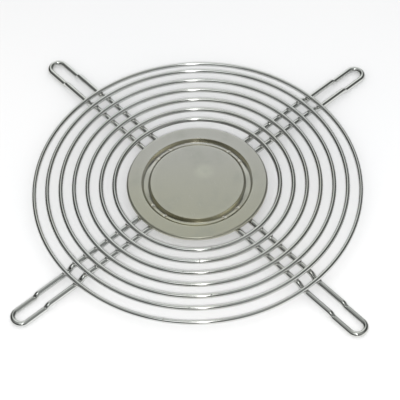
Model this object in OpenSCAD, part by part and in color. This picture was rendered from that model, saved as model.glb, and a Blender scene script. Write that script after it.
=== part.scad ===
// Wire finger guard for a square axial fan.
//
// Seven concentric rings and a pressed centre disc are welded on top of four arms.
// Each arm is one bent wire, a long hairpin. Its two legs run side by side from under the disc,
// out below the rings, and meet in the round ear that holds the fan's screw. A leg steps down
// towards the fan twice: just inside the outermost ring, and again in the ear.
//
// Origin: on the guard's axis, in the plane of the ears' undersides, where it meets the fan.
// +Z points away from the fan. The ears lie on the diagonals of X and Y.

/* [Fan] */
// Distance between neighbouring screw holes of the fan, along its square side
fan_hole_spacing = 105; // [104:0.5:107]

/* [Rings] */
// Diameter of the outermost ring, to the middle of its wire
outer_ring_d = 112; // [110:0.5:114]
// Diameter of the innermost ring, to the middle of its wire
inner_ring_d = 56.8; // [55:0.2:58]
// Diameter of the wire that the rings are made of
ring_wire_d = 1.6; // [1.4:0.1:1.7]

/* [Arms] */
// Diameter of the wire that the arms are made of
arm_wire_d = 2; // [1.8:0.1:2.2]
// Distance between the two legs of an arm, from middle to middle
leg_spacing = 5.8; // [5.4:0.1:6.6]
// Distance from the axis to the inner ends of the legs, under the disc
arm_start_r = 15; // [12:0.5:16]
// Height that the arms and the outermost ring step down from the other rings
ring_step = 1.28; // [1:0.01:1.35]
// Height that an ear steps down to its flat end
ear_step = 0.86; // [0.7:0.01:1]
// Length of the ear's flat end, from its step to the screw
ear_flat_l = 4.9; // [4:0.1:5.5]
// Distance from the screw outwards to the middle of the ear's end bend
ear_reach = 2.4; // [1.5:0.1:3]
// Bend radius of each step, to the middle of the wire
step_bend_r = 1.4; // [1.2:0.05:1.5]

/* [Centre disc] */
// Diameter of the disc over its rim
disc_d = 48.4; // [46:0.2:50]
// Thickness of the disc's sheet metal
sheet_t = 0.6; // [0.5:0.05:0.9]
// Inside radius of the bend between the disc's top and its turned-down rim
rim_bend_r = 0.1; // [0.05:0.05:0.3]
// Height of the rim's upright edge, below that bend
rim_edge_h = 0.3; // [0.2:0.05:0.4]
// Diameter of the pressed groove, to its middle
groove_d = 35; // [34:0.5:37]
// Width of the groove between its shoulders, on top
groove_w = 3.2; // [2.8:0.1:3.8]
// Depth that the groove is pressed to
groove_depth = 0.8; // [0.7:0.05:1]
// Radius of the groove's shoulders, on top
groove_shoulder_r = 0.2; // [0.1:0.05:0.3]
// Inside radius between the groove's walls and its floor
groove_floor_r = 0.5; // [0.3:0.05:0.6]

/* [Welds] */
// Depth that a ring is pressed into an arm by its weld
ring_weld_depth = 0.3; // [0.1:0.05:0.35]
// Depth that the disc's groove is pressed into an arm by its weld
disc_weld_depth = 0.15; // [0.05:0.05:0.2]

/* [Hidden] */

$fn = 96;

ring_count = 7;
arm_count = 4;
first_arm_angle = 45;

// Rings are numbered outwards from 1 and lie one pitch apart.
ring_pitch = (outer_ring_d - inner_ring_d) / 2 / (ring_count - 1);
function ring_r(i) = inner_ring_d / 2 + (i - 1) * ring_pitch;

// Heights of the arm wire's middle: in the flat end of an ear, in the ear before its step, and
// under the inner rings. The rings lie on the arms, and sink into them by the depth of the weld.
ear_end_z = arm_wire_d / 2;
ear_z = ear_end_z + ear_step;
inner_arm_z = ear_z + ring_step;
ring_seat = (arm_wire_d + ring_wire_d) / 2 - ring_weld_depth;
function arm_z(i) = i == ring_count ? ear_z : inner_arm_z;
function ring_z(i) = arm_z(i) + ring_seat;

// A step in a leg is two equal bends with a straight slope of 3 in 4 between them.
step_sin = 3 / 5;
step_cos = 4 / 5;
step_angle = atan2(step_sin, step_cos);
function step_slant(h) = (h - 2 * step_bend_r * (1 - step_cos)) / step_sin;
function step_l(h) = 2 * step_bend_r * step_sin + step_slant(h) * step_cos;

// Places along an arm, measured from the axis. The first step is midway between the last two rings.
ring_step_middle = ring_r(ring_count) - ring_pitch / 2;
ring_step_start = ring_step_middle - step_l(ring_step) / 2;
ring_step_end = ring_step_middle + step_l(ring_step) / 2;
screw_r = fan_hole_spacing / sqrt(2);
ear_step_end = screw_r - ear_flat_l;
ear_step_start = ear_step_end - step_l(ear_step);
end_bend_r = leg_spacing / 2;
end_bend_s = screw_r + ear_reach;

// The walls of the disc's groove slope 4 in 3. Its underside rests on the arms, and the disc's top
// stands above them by its depth.
disc_r = disc_d / 2;
rim_outer_r = rim_bend_r + sheet_t;
groove_r = groove_d / 2;
groove_sin = 4 / 5;
groove_cos = 3 / 5;
groove_angle = atan2(groove_sin, groove_cos);
groove_half_w = groove_w / 2;
wall_h = groove_depth - (groove_shoulder_r + groove_floor_r) * (1 - groove_cos);
wall_w = wall_h * groove_cos / groove_sin;
floor_half_w = groove_half_w - wall_w - (groove_shoulder_r + groove_floor_r) * groove_sin;
flat_start = groove_half_w + (sheet_t - groove_shoulder_r) * (1 - groove_cos) / groove_sin;
groove_foot_z = inner_arm_z + arm_wire_d / 2 - disc_weld_depth;
disc_top_z = groove_foot_z + sheet_t + groove_depth;

// A bend to the left in a wire that lies along +X. What follows starts at its end.
module bend(angle, r) {
    translate([0, r, 0])
        rotate(-90)
            rotate_extrude(angle = angle)
                translate([r, 0])
                    circle(d = arm_wire_d);
    translate([r * sin(angle), r * (1 - cos(angle)), 0])
        rotate(angle)
            children();
}

// A wire bent as a wire former bends it, from a list of steps: [feed, turn, angle, radius]. It is
// fed along +X, turned about its own line, and bent to the left. The next step starts there.
module bent_wire(steps, i = 0) {
    if (i < len(steps)) {
        feed = steps[i][0];
        turn = steps[i][1];
        rotate([0, 90, 0])
            cylinder(d = arm_wire_d, h = feed);
        translate([feed, 0, 0])
            rotate([turn, 0, 0])
                bend(steps[i][2], steps[i][3])
                    bent_wire(steps, i + 1);
    }
}

// One leg and half of the ear's end bend. At each step the wire bends down, turns over and bends
// level again. Then it turns on its side for the end bend.
module half_arm() {
    down = -90;
    over = 180;
    sideways = -90;
    translate([arm_start_r, -end_bend_r, inner_arm_z])
        bent_wire([
            [ring_step_start - arm_start_r, down, step_angle, step_bend_r],
            [step_slant(ring_step), over, step_angle, step_bend_r],
            [ear_step_start - ring_step_end, over, step_angle, step_bend_r],
            [step_slant(ear_step), over, step_angle, step_bend_r],
            [end_bend_s - ear_step_end, sideways, 90, end_bend_r]
        ]);
}

module arm(k) {
    color([0.72, 0.73, 0.71])
        rotate(first_arm_angle + 360 / arm_count * (k - 1)) {
            half_arm();
            mirror([0, 1, 0])
                half_arm();
        }
}

// The level stretches of all legs that lie at height z, from one distance to another.
module legs(z, from, to) {
    for (k = [1 : arm_count])
        for (side = [-1, 1])
            rotate(first_arm_angle + 360 / arm_count * (k - 1))
                translate([from, side * end_bend_r, z])
                    rotate([0, 90, 0])
                        cylinder(d = arm_wire_d, h = to - from);
}

// A ring with the saddles that the legs under it leave at its welds.
module ring(i) {
    color([0.78, 0.79, 0.78])
        difference() {
            translate([0, 0, ring_z(i)])
                rotate_extrude()
                    translate([ring_r(i), 0])
                        circle(d = ring_wire_d);
            legs(arm_z(i), ring_r(i) - ring_pitch / 2, ring_r(i) + ring_pitch / 2);
        }
}

// A length of the disc's sheet in section, bent to an arc about the origin. The radius is to the
// middle of the sheet.
module bent_sheet(r, from, to) {
    reach = 2 * (r + sheet_t);
    intersection() {
        difference() {
            circle(r = r + sheet_t / 2);
            circle(r = r - sheet_t / 2);
        }
        polygon([[0, 0], reach * [cos(from), sin(from)], reach * [cos(to), sin(to)]]);
    }
}

// A flat length of the disc's sheet in section, just below the top.
module flat_sheet(from, to) {
    translate([from, -sheet_t])
        square([to - from, sheet_t]);
}

// One side of the groove in section, from its middle to where the flat sheet starts. The shoulder
// is pressed sharper on top than the sheet is thick, over a sharp corner underneath.
module groove_side() {
    floor_y = groove_floor_r - groove_depth;
    wall_foot = [floor_half_w, floor_y] + groove_floor_r * [groove_sin, -groove_cos];
    shoulder = [groove_half_w, -groove_shoulder_r];
    translate([0, -groove_depth])
        flat_sheet(0, floor_half_w);
    translate([floor_half_w, floor_y])
        bent_sheet(groove_floor_r + sheet_t / 2, 270, 270 + groove_angle);
    polygon([
        wall_foot,
        wall_foot + sheet_t * [groove_sin, -groove_cos],
        [flat_start, -sheet_t],
        [flat_start, 0],
        [groove_half_w, 0],
        shoulder,
        wall_foot + [wall_w, wall_h]
    ]);
    translate(shoulder)
        intersection() {
            circle(r = groove_shoulder_r);
            polygon([[0, 0], [0, sheet_t], sheet_t * [-groove_sin, groove_cos]]);
        }
}

// Half of the disc's section, with its top at height 0: centre, groove, flange and rim.
module disc_section() {
    flat_sheet(0, groove_r - flat_start);
    translate([groove_r, 0]) {
        groove_side();
        mirror([1, 0])
            groove_side();
    }
    flat_sheet(groove_r + flat_start, disc_r - rim_outer_r);
    translate([disc_r - rim_outer_r, -rim_outer_r])
        bent_sheet(rim_bend_r + sheet_t / 2, 0, 90);
    translate([disc_r - sheet_t, -rim_outer_r - rim_edge_h])
        square([sheet_t, rim_edge_h]);
}

module centre_disc() {
    color([0.66, 0.67, 0.63])
        difference() {
            translate([0, 0, disc_top_z])
                rotate_extrude()
                    disc_section();
            legs(inner_arm_z, arm_start_r, disc_r);
        }
}

centre_disc();
for (i = [1 : ring_count])
    ring(i);
for (k = [1 : arm_count])
    arm(k);
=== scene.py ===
"""Dresses the welded wire fan guard: plated wire and sheet, weld beads, studio and camera.

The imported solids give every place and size. Lengths are in metres, +Z points away from the fan.
"""

import math
import random

import bmesh
import bpy
from mathutils import Matrix, Vector, noise


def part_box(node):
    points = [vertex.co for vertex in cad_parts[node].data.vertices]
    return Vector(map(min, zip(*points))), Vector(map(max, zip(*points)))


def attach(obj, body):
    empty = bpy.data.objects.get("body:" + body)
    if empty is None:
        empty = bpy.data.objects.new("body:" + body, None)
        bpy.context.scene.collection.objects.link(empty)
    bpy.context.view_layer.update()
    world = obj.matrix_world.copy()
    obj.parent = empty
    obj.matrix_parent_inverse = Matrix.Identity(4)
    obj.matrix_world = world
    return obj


MM = 0.001

# Layout of the guard that the frame's boxes don't give.
RING_COUNT = 7
ARM_COUNT = 4
FIRST_ARM_ANGLE = math.radians(45)
LEG_OFFSET = 2.9 * MM
GROOVE_RADIUS = 17.5 * MM
RING_WELD_DEPTH = 0.3 * MM
DISC_WELD_DEPTH = 0.15 * MM
# Where the disc has a paler patch, near its middle.
PALE_PATCH = (2.1 * MM, 4.5 * MM, 5.4 * MM)
# Turns x and y into distances along and across the arms.
DIAGONAL = 0.7071


def spherical(azimuth, elevation):
    """Unit vector towards a compass direction: azimuth 0 is +Y and 90 is +X, in degrees."""
    a, e = math.radians(azimuth), math.radians(elevation)
    return Vector((math.sin(a) * math.cos(e), math.cos(a) * math.cos(e), math.sin(e)))


# ---------------------------------------------------------------- shader maths


class Shade:
    """One socket of a finish. Ordinary sums on it add the nodes that work them out."""

    def __init__(self, recipe, socket):
        self.recipe = recipe
        self.socket = socket

    def has_direction(self):
        return self.socket.type in ("VECTOR", "RGBA")

    def pair(self, operation, first, second):
        directed = any(isinstance(x, Shade) and x.has_direction() for x in (first, second))
        kind = "ShaderNodeVectorMath" if directed else "ShaderNodeMath"
        return self.recipe.add(kind, {"operation": operation}, {0: first, 1: second})

    def __add__(self, other):
        return self.pair("ADD", self, other)

    def __radd__(self, other):
        return self.pair("ADD", other, self)

    def __sub__(self, other):
        return self.pair("SUBTRACT", self, other)

    def __rsub__(self, other):
        return self.pair("SUBTRACT", other, self)

    def __mul__(self, other):
        return self.pair("MULTIPLY", self, other)

    def __truediv__(self, other):
        return self.pair("DIVIDE", self, other)

    def __pow__(self, other):
        return self.pair("POWER", self, other)

    def __abs__(self):
        return self.recipe.add("ShaderNodeMath", {"operation": "ABSOLUTE"}, {0: self})

    def dot(self, vector):
        settings = {"operation": "DOT_PRODUCT"}
        return self.recipe.add("ShaderNodeVectorMath", settings, {0: self, 1: vector}, "Value")

    def ease(self, start, end, low=0.0, high=1.0):
        """Runs smoothly from low to high as this value goes from start to end."""
        settings = {"interpolation_type": "SMOOTHSTEP", "clamp": True}
        values = {"Value": self, "From Min": start, "From Max": end, "To Min": low, "To Max": high}
        return self.recipe.add("ShaderNodeMapRange", settings, values)


class Recipe:
    """The node tree of one finish, or of the studio's surroundings."""

    def __init__(self, tree):
        self.tree = tree

    def add(self, kind, settings, inputs, output=0):
        """A new node of that type: its settings come first, then the values or links of its sockets."""
        node = self.tree.nodes.new(kind)
        for name, value in settings.items():
            setattr(node, name, value)
        for name, value in inputs.items():
            socket = node.inputs[name]
            if isinstance(value, Shade):
                self.tree.links.new(value.socket, socket)
            elif socket.type == "VECTOR" and isinstance(value, (int, float)):
                socket.default_value = (value, value, value)
            elif socket.type == "RGBA" and len(value) == 3:
                socket.default_value = (*value, 1)
            else:
                socket.default_value = value
        return Shade(self, node.outputs[output])

    def blend(self, factor, first, second):
        """The first colour where factor is 0 and the second where it is 1."""
        settings = {"data_type": "RGBA", "clamp_factor": True}
        return self.add("ShaderNodeMix", settings, {0: factor, 6: first, 7: second}, 2)

    def speckle(self, place, scale, detail=2.0, roughness=0.5, depth=None):
        """Soft noise from 0 to 1; depth is its fourth coordinate."""
        dimensions = "3D" if depth is None else "4D"
        values = {"Vector": place, "Scale": scale, "Detail": detail, "Roughness": roughness}
        if depth is not None:
            values["W"] = depth
        return self.add("ShaderNodeTexNoise", {"noise_dimensions": dimensions}, values)

    def bump(self, height, distance, strength):
        values = {"Height": height, "Distance": distance, "Strength": strength}
        return self.add("ShaderNodeBump", {}, values)

    def axes(self, place):
        """The three coordinates of a vector."""
        split = self.add("ShaderNodeSeparateXYZ", {}, {0: place})
        return [Shade(self, socket) for socket in split.socket.node.outputs]

    def point(self, x, y, z):
        return self.add("ShaderNodeCombineXYZ", {}, {0: x, 1: y, 2: z})


def new_finish(name, fixed):
    """A material with one Principled shader, whose unchanging sockets are set here."""
    material = bpy.data.materials.new(name)
    material.use_nodes = True
    shader = material.node_tree.nodes["Principled BSDF"]
    for socket, value in fixed.items():
        shader.inputs[socket].default_value = value
    return material, Recipe(material.node_tree), shader


def feed(recipe, shader, sockets):
    """Links what changes over the surface to the shader."""
    for name, value in sockets.items():
        recipe.tree.links.new(value.socket, shader.inputs[name])


# ---------------------------------------------------------------- finishes

# Tones of the wire.
BRIGHT_PLATE = (0.70, 0.71, 0.70)
WARM_PLATE = (0.69, 0.69, 0.66)
DULL_PLATE = (0.52, 0.53, 0.52)
# Tones of the disc: painted shade on its nearer side and painted light on its farther side, then painted
# shade on the groove's wall, a paler patch, and what is worked or stained into it.
NEAR_SIDE_PAINTED_SHADE = (0.585, 0.575, 0.475)
FAR_SIDE_PAINTED_LIGHT = (0.610, 0.600, 0.570)
PAINTED_GROOVE_SHADE = (0.36, 0.32, 0.15)
PALE_PATCH_PLATE = (0.76, 0.76, 0.66)
STAINED_PLATE = (0.50, 0.51, 0.46)
GRAIN_CREST = (0.80, 0.80, 0.76)
SCRATCHED_PLATE = (0.86, 0.86, 0.84)
HEAT_TINT = (0.50, 0.44, 0.32)
WELD_DENT = (0.80, 0.80, 0.76)


def plated_wire(name, lay):
    """Bright plated wire: die lines along it, a gentle waviness, and a thin uneven bloom.

    lay makes, from a recipe and its object coordinates, where its die lines run.
    """
    material, r, shader = new_finish(name, {"Metallic": 1.0})
    place = r.add("ShaderNodeTexCoord", {}, {}, "Object")
    fine_place, fine_depth = lay(r, place)
    lines = r.speckle(fine_place, 1.0, 3.0, 0.6, fine_depth)
    waviness = r.speckle(place, 260.0, 1.5)
    bloom = r.speckle(place, 95.0, 3.0, 0.55)
    warmth = r.speckle(place, 40.0, 2.0)
    pits = r.speckle(place, 1900.0, 1.0).ease(0.70, 0.80)
    colour = r.blend(warmth.ease(0.35, 0.70), BRIGHT_PLATE, WARM_PLATE)
    colour = r.blend(bloom.ease(0.50, 0.85) * 0.5 + pits * 0.4, colour, DULL_PLATE)
    roughness = 0.075 + lines * 0.04 + bloom.ease(0.45, 0.80) * 0.05 + pits * 0.15
    height = lines * 0.10 + waviness * 0.9 - pits * 0.25
    feed(r, shader, {
        "Base Color": colour,
        "Roughness": roughness,
        "Normal": r.bump(height, 0.02 * MM, 0.6),
    })
    return material


def ring_lines(r, place):
    """Lines that follow the rings: fine from the middle outwards and in height, slow round the ring."""
    x, y, z = r.axes(place)
    radius = (x * x + y * y) ** 0.5
    return r.point(x / radius * 3.0, y / radius * 3.0, radius * 9000.0), z * 9000.0


def arm_lines(r, place):
    """Lines that follow the straight arms, folded so that one pattern serves all four."""
    x, y, z = r.axes(place)
    along = (abs(x) + abs(y)) * DIAGONAL
    across = (abs(x) - abs(y)) * DIAGONAL
    return r.point(along * 60.0, across * 9000.0, z * 9000.0), x * 20.0


def groove_slopes(r, y, radius):
    """The groove's slopes: how worked the sheet is there, where the painted shade lies on the wall
    facing the camera, and how far the bump tilts.
    """
    off_groove = abs(radius - GROOVE_RADIUS)
    worked = 1.0 - off_groove.ease(1.6 * MM, 3.4 * MM)
    side = r.add("ShaderNodeMath", {"operation": "SIGN"}, {0: y})
    uphill = (radius - GROOVE_RADIUS) * side
    pressed = uphill.ease(1.05 * MM, 0.15 * MM) * uphill.ease(-1.7 * MM, -0.1 * MM)
    pressed = pressed * (abs(y) / radius).ease(0.2, 0.7)
    leaning = (radius - GROOVE_RADIUS) * y / radius
    # Painted shade: the groove's wall that faces the camera, darkened in colour.
    wall = leaning.ease(0.2 * MM, 0.7 * MM) * off_groove.ease(1.62 * MM, 1.45 * MM)
    return worked, wall, pressed


def groove_weld_marks(x, y, mottle):
    """The dents where the groove is welded to the eight legs, and the heat tint round them."""
    along = (abs(x) + abs(y)) * DIAGONAL
    across = abs(abs(x) - abs(y)) * DIAGONAL - LEG_OFFSET
    step = along - (GROOVE_RADIUS**2 - LEG_OFFSET**2) ** 0.5
    from_weld = (step * step + across * across) ** 0.5
    ragged = from_weld + (mottle - 0.5) * 0.7 * MM
    dent = 1.0 - ragged.ease(0.30 * MM, 0.85 * MM)
    tint = 1.0 - ragged.ease(0.8 * MM, 1.9 * MM)
    return dent, tint


def satin_plate():
    """Pressed sheet under a satin plating: rolled grain, press rings by the groove, weld marks in it,
    and painted shade and light across it.
    """
    material, r, shader = new_finish("satin plate", {"Metallic": 1.0})
    place = r.add("ShaderNodeTexCoord", {}, {}, "Object")
    x, y, z = r.axes(place)
    radius = (x * x + y * y) ** 0.5
    grain = r.speckle(r.point(x * 350.0, y * 7000.0, z * 7000.0), 1.0, 3.0, 0.65)
    tooth = r.speckle(place, 5200.0, 2.0, 0.6)
    mottle = r.speckle(place, 130.0, 4.0, 0.6)
    cloud = r.speckle(place, 38.0, 2.0)
    scratch = r.speckle(r.point(x * 5200.0 + y * 1900.0, y * 260.0 - x * 90.0, z), 1.0, 1.0)
    scratch = scratch.ease(0.70, 0.745)
    press = r.speckle(r.point(radius * 6500.0, x / radius * 1.2, y / radius * 1.2), 1.0, 2.0)
    worked, wall, pressed = groove_slopes(r, y, radius)
    dent, tint = groove_weld_marks(x, y, mottle)
    rim = radius.ease(22.6 * MM, 24.0 * MM)
    # Painted shade and light: the disc's colour runs darker towards the near side and paler towards the
    # far side.
    painted_shade_fade = (y + (cloud - 0.5) * 12.0 * MM).ease(-20.0 * MM, 20.0 * MM)
    # A paler patch near the disc's middle, blended in softly.
    pale_patch = r.add("ShaderNodeVectorMath", {"operation": "DISTANCE"}, {0: place, 1: PALE_PATCH}, "Value")
    pale_patch = (pale_patch + (cloud - 0.5) * 3.0 * MM).ease(4.5 * MM, 0.5 * MM)

    colour = r.blend(painted_shade_fade, NEAR_SIDE_PAINTED_SHADE, FAR_SIDE_PAINTED_LIGHT)
    # Painted shade on the groove's wall facing the camera.
    colour = r.blend(wall * 0.65, colour, PAINTED_GROOVE_SHADE)
    colour = r.blend(pale_patch * 0.5, colour, PALE_PATCH_PLATE)
    colour = r.blend(mottle.ease(0.48, 0.80) * 0.45, colour, STAINED_PLATE)
    colour = r.blend(grain.ease(0.55, 0.85) * 0.22, colour, GRAIN_CREST)
    colour = r.blend(scratch * 0.35, colour, SCRATCHED_PLATE)
    colour = r.blend(tint * 0.35, colour, HEAT_TINT)
    colour = r.blend(dent * 0.6, colour, WELD_DENT)
    roughness = 0.33 + (mottle - 0.5) * 0.10 + grain * 0.05 - rim * 0.06 - worked * 0.07
    fine = grain * 0.25 + tooth * 0.25 + press * worked * 0.35 + mottle * 0.85 - scratch * 0.35
    height = fine + dent * 6.0 - pressed * 26.0
    feed(r, shader, {
        "Base Color": colour,
        "Roughness": roughness,
        "Normal": r.bump(height, 0.02 * MM, 1.0),
    })
    return material


def weld_metal():
    """Metal squeezed out at a weld, plated over: lumpy, brighter on its crests."""
    material, r, shader = new_finish("weld metal", {"Metallic": 1.0})
    place = r.add("ShaderNodeTexCoord", {}, {}, "Object")
    lumps = r.speckle(place, 1500.0, 3.0, 0.6)
    soot = r.speckle(place, 420.0, 2.0)
    colour = r.blend(soot.ease(0.45, 0.75) * 0.7, (0.72, 0.72, 0.70), (0.46, 0.43, 0.38))
    feed(r, shader, {
        "Base Color": colour,
        "Roughness": 0.13 + lumps * 0.14,
        "Normal": r.bump(lumps, 0.06 * MM, 0.6),
    })
    return material


def matt_board():
    """The plain pale board that the guard lies on."""
    material, r, shader = new_finish("matt board", {"Specular IOR Level": 0.2})
    place = r.add("ShaderNodeTexCoord", {}, {}, "Object")
    fibre = r.speckle(place, 900.0, 4.0, 0.6)
    shade = r.speckle(place, 6.0, 2.0)
    colour = r.blend(shade.ease(0.3, 0.7), (0.80, 0.805, 0.81), (0.82, 0.82, 0.82))
    feed(r, shader, {
        "Base Color": r.blend(fibre * 0.04, colour, (0.70, 0.70, 0.70)),
        "Roughness": 0.75 + fibre * 0.2,
        "Normal": r.bump(fibre, 0.02 * MM, 0.4),
    })
    return material


# ---------------------------------------------------------------- weld beads

# Half lengths of a bead along the leg, across it and up.
RING_BEAD = (1.18 * MM, 0.92 * MM, 0.30 * MM)
DISC_BEAD = (1.20 * MM, 1.05 * MM, 0.26 * MM)
# A butt weld's half length, and how much thicker than the wire it is.
BUTT_HALF_LENGTH = 0.50 * MM
BUTT_SWELL = 1.07
# The butt welds lie near the front, each ring's turned on by a few of these steps, in degrees.
BUTT_ANGLE = 262
BUTT_STEP = 4.2


def finished_piece(bm, name, material):
    """The bmesh as a smooth piece that rides on the guard."""
    bmesh.ops.recalc_face_normals(bm, faces=bm.faces)
    mesh = bpy.data.meshes.new(name)
    bm.to_mesh(mesh)
    bm.free()
    mesh.shade_smooth()
    mesh.materials.append(material)
    piece = bpy.data.objects.new(name, mesh)
    bpy.context.scene.collection.objects.link(piece)
    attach(piece, "root")
    return piece


def add_bead(bm, middle, direction, size, lumps, seed):
    """A lumpy drop of metal: size is its half lengths along direction, across it and up."""
    drop = bmesh.ops.create_uvsphere(bm, u_segments=20, v_segments=12, radius=1.0)["verts"]
    shift = Vector((seed * 7.31, seed * 3.17, seed * 5.77))
    for vert in drop:
        vert.co *= 1.0 + lumps * noise.noise(vert.co * 1.7 + shift)
    turn = Matrix.Rotation(math.atan2(direction.y, direction.x), 4, "Z")
    place = Matrix.Translation(middle) @ turn @ Matrix.Diagonal((*size, 1.0))
    bmesh.ops.transform(bm, matrix=place, verts=drop)


def crossings(radius):
    """Where a circle round the guard's axis crosses the eight legs: (direction of the arm, point)."""
    reach = (radius**2 - LEG_OFFSET**2) ** 0.5
    for arm in range(ARM_COUNT):
        angle = FIRST_ARM_ANGLE + arm * math.tau / ARM_COUNT
        along = Vector((math.cos(angle), math.sin(angle), 0))
        for side in (-1, 1):
            yield along, along * reach + Vector((-along.y, along.x, 0)) * side * LEG_OFFSET


def ring_sizes(number):
    """Radius of a ring's centre line, its height, and half its wire's thickness."""
    low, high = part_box(f"ring_{number}")
    wire = (high.z - low.z) / 2
    return high.x - wire, (low.z + high.z) / 2, wire


def weld_ring(number, material):
    """The metal squeezed out where a ring is welded to the legs, and the ring's own butt weld."""
    radius, height, wire = ring_sizes(number)
    rng = random.Random(200 + number)
    bm = bmesh.new()
    for seed, (along, point) in enumerate(crossings(radius)):
        grow = rng.uniform(0.92, 1.12)
        size = (RING_BEAD[0] * grow, RING_BEAD[1] * grow, RING_BEAD[2])
        middle = point + Vector((0, 0, height - wire + RING_WELD_DEPTH / 2))
        add_bead(bm, middle, along, size, 0.22, seed + number * 10)
    turn = math.radians(BUTT_ANGLE + BUTT_STEP * (number * 5 % RING_COUNT))
    out = Vector((math.cos(turn), math.sin(turn), 0))
    size = (BUTT_HALF_LENGTH, wire * BUTT_SWELL, wire * BUTT_SWELL)
    middle = out * radius + Vector((0, 0, height))
    add_bead(bm, middle, Vector((-out.y, out.x, 0)), size, 0.10, number)
    # The butt weld is dressed flush with the top of the wire.
    for vert in bm.verts:
        vert.co.z = min(vert.co.z, height + wire)
    return finished_piece(bm, f"ring_{number}_welds", material)


def weld_disc(material):
    """The metal squeezed out under the disc's groove, where it is welded to the legs."""
    low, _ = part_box("ring_1")
    leg_top = low.z + RING_WELD_DEPTH
    rng = random.Random(77)
    bm = bmesh.new()
    for seed, (along, point) in enumerate(crossings(GROOVE_RADIUS)):
        grow = rng.uniform(0.92, 1.10)
        size = (DISC_BEAD[0] * grow, DISC_BEAD[1] * grow, DISC_BEAD[2])
        middle = point + Vector((0, 0, leg_top - DISC_WELD_DEPTH / 2))
        add_bead(bm, middle, along, size, 0.20, seed + 90)
    return finished_piece(bm, "disc_welds", material)


# ---------------------------------------------------------------- camera

CAMERA_AZIMUTH = 5.23
CAMERA_ELEVATION = 52.54
CAMERA_ROLL = -2.672
CAMERA_DISTANCE = 521.1 * MM
CAMERA_SIDE = 0.976 * MM
CAMERA_DROP = 5.949 * MM
FIELD_OF_VIEW = math.radians(14.97)


def place_camera(centre):
    """The camera looks down past the guard's centre, a little turned and rolled."""
    data = bpy.data.cameras.new("camera")
    data.sensor_width = 36
    data.angle = FIELD_OF_VIEW
    camera = bpy.data.objects.new("camera", data)
    bpy.context.scene.collection.objects.link(camera)
    turn = (
        Matrix.Rotation(math.radians(CAMERA_AZIMUTH), 4, "Z")
        @ Matrix.Rotation(math.radians(90 - CAMERA_ELEVATION), 4, "X")
        @ Matrix.Rotation(math.radians(CAMERA_ROLL), 4, "Z")
    )
    offset = turn @ Vector((CAMERA_SIDE, -CAMERA_DROP, CAMERA_DISTANCE))
    camera.matrix_world = Matrix.Translation(centre + offset) @ turn
    bpy.context.scene.camera = camera


# ---------------------------------------------------------------- studio

# A plain studio for the plating to mirror, set in round numbers. Each panel has its azimuth
# from straight away from the camera, turning right, elevation, half width and half height in
# degrees, and level.
PANELS = {
    "pale sweep behind the guard": (0, 15, 25, 45, 1.0),
    "soft box above the camera": (200, 70, 10, 15, 1.0),
    "ceiling": (200, 80, 40, 25, 0.4),
    "reflector on the right": (120, 0, 25, 15, 0.9),
    "wall on the right": (120, 0, 60, 35, 0.4),
    "wall on the left": (250, 0, 60, 20, 0.3),
}
DARK_ROOM = 0.02
ROOM_TINT = (0.97, 1.0, 0.97)
# The long soft lamp over the camera: how far it reaches to the sides, where it starts, its level.
STRIP_SIDE = (0.01, 0.06)
STRIP_RISE = (0.20, 0.70)
STRIP_LEVEL = 2.8
# Soft light from all round, on what isn't mirror-like.
SKY_LEVEL = 0.88
BACKDROP_LEVEL = 0.94
BOARD_RADIUS = 3.0
# The key lamp's place beside the camera, in the camera's own directions, its width and its power.
KEY_LAMP_PLACE = Vector((0, -0.02, 0.02))
KEY_LAMP_WIDTH = 0.06
KEY_LAMP_POWER = 1.56


def panel_level(sight, azimuth, elevation, half_width, half_height, level):
    """How brightly a panel shows in each direction."""
    azimuth -= CAMERA_AZIMUTH
    aside = sight.dot(spherical(azimuth + 90, 0)) / math.sin(math.radians(half_width))
    above = sight.dot(spherical(azimuth, elevation + 90)) / math.sin(math.radians(half_height))
    spread = (aside * aside + above * above) ** 0.5
    ahead = sight.dot(spherical(azimuth, elevation)).ease(-0.02, 0.02)
    return spread.ease(1.5, 0.5, 0.0, level) * ahead


def light_the_room():
    """The room as the plating mirrors it, with the long soft lamp, and a plain pale backdrop."""
    world = bpy.data.worlds.new("studio")
    bpy.context.scene.world = world
    world.use_nodes = True
    r = Recipe(world.node_tree)
    sight = r.add("ShaderNodeTexCoord", {}, {}, "Generated")
    ahead = sight.dot(spherical(-CAMERA_AZIMUTH, 0))
    aside = sight.dot(spherical(90 - CAMERA_AZIMUTH, 0))
    _, _, up = r.axes(sight)
    level = DARK_ROOM
    for panel in PANELS.values():
        level = level + panel_level(sight, *panel)
    near_side = abs(aside).ease(STRIP_SIDE[1], STRIP_SIDE[0])
    over = up.ease(*STRIP_RISE) * ahead.ease(0.25, 0.0)
    strip = near_side * over * STRIP_LEVEL
    colour = r.blend(1.0, (0, 0, 0), level) * ROOM_TINT + strip
    mirrored = r.add("ShaderNodeLightPath", {}, {}, "Is Glossy Ray")
    seen = r.add("ShaderNodeLightPath", {}, {}, "Is Camera Ray")
    colour = r.blend(mirrored, (SKY_LEVEL,) * 3, colour)
    colour = r.blend(seen, colour, (BACKDROP_LEVEL,) * 3)
    world.node_tree.links.new(colour.socket, world.node_tree.nodes["Background"].inputs["Color"])


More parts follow.
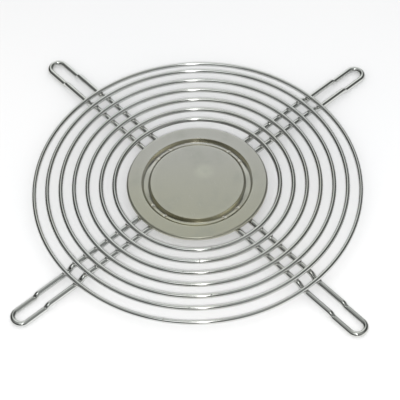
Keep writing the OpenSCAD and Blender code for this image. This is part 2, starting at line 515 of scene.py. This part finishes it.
def add_lamp(name, place, target, width, power):
    """A round soft lamp that faces the target, and that the plating doesn't mirror."""
    data = bpy.data.lights.new(name, "AREA")
    data.shape = "DISK"
    data.size = width
    data.energy = power
    lamp = bpy.data.objects.new(name, data)
    bpy.context.scene.collection.objects.link(lamp)
    aim = (target - place).to_track_quat("-Z", "Y").to_matrix().to_4x4()
    lamp.matrix_world = Matrix.Translation(place) @ aim
    lamp.visible_glossy = False


def lay_the_board():
    """The wide floor under the guard, in the shape of a round board."""
    bm = bmesh.new()
    bmesh.ops.create_circle(bm, cap_ends=True, segments=96, radius=BOARD_RADIUS)
    mesh = bpy.data.meshes.new("board")
    bm.to_mesh(mesh)
    bm.free()
    mesh.materials.append(matt_board())
    board = bpy.data.objects.new("board", mesh)
    bpy.context.scene.collection.objects.link(board)


# ---------------------------------------------------------------- the scene

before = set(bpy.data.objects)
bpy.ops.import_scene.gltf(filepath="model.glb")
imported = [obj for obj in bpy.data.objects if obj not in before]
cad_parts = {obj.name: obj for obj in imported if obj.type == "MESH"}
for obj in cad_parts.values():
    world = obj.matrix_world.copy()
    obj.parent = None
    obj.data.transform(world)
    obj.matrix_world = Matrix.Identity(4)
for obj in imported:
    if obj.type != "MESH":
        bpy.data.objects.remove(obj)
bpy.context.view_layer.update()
_, ring_height, _ = ring_sizes(1)
centre = Vector((0, 0, ring_height))
place_camera(centre)

ring_plating = plated_wire("plated ring wire", ring_lines)
arm_plating = plated_wire("plated arm wire", arm_lines)
plate = satin_plate()
welds = weld_metal()
for name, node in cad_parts.items():
    if name.startswith("ring"):
        node.material_slots[0].material = ring_plating
    elif name.startswith("arm"):
        node.material_slots[0].material = arm_plating
    else:
        node.material_slots[0].material = plate

for number in range(1, RING_COUNT + 1):
    weld_ring(number, welds)
weld_disc(welds)

light_the_room()
lay_the_board()
eye = bpy.context.scene.camera.matrix_world
add_lamp("key lamp", eye @ KEY_LAMP_PLACE, centre, KEY_LAMP_WIDTH, KEY_LAMP_POWER)
bpy.context.scene.view_settings.view_transform = "Standard"
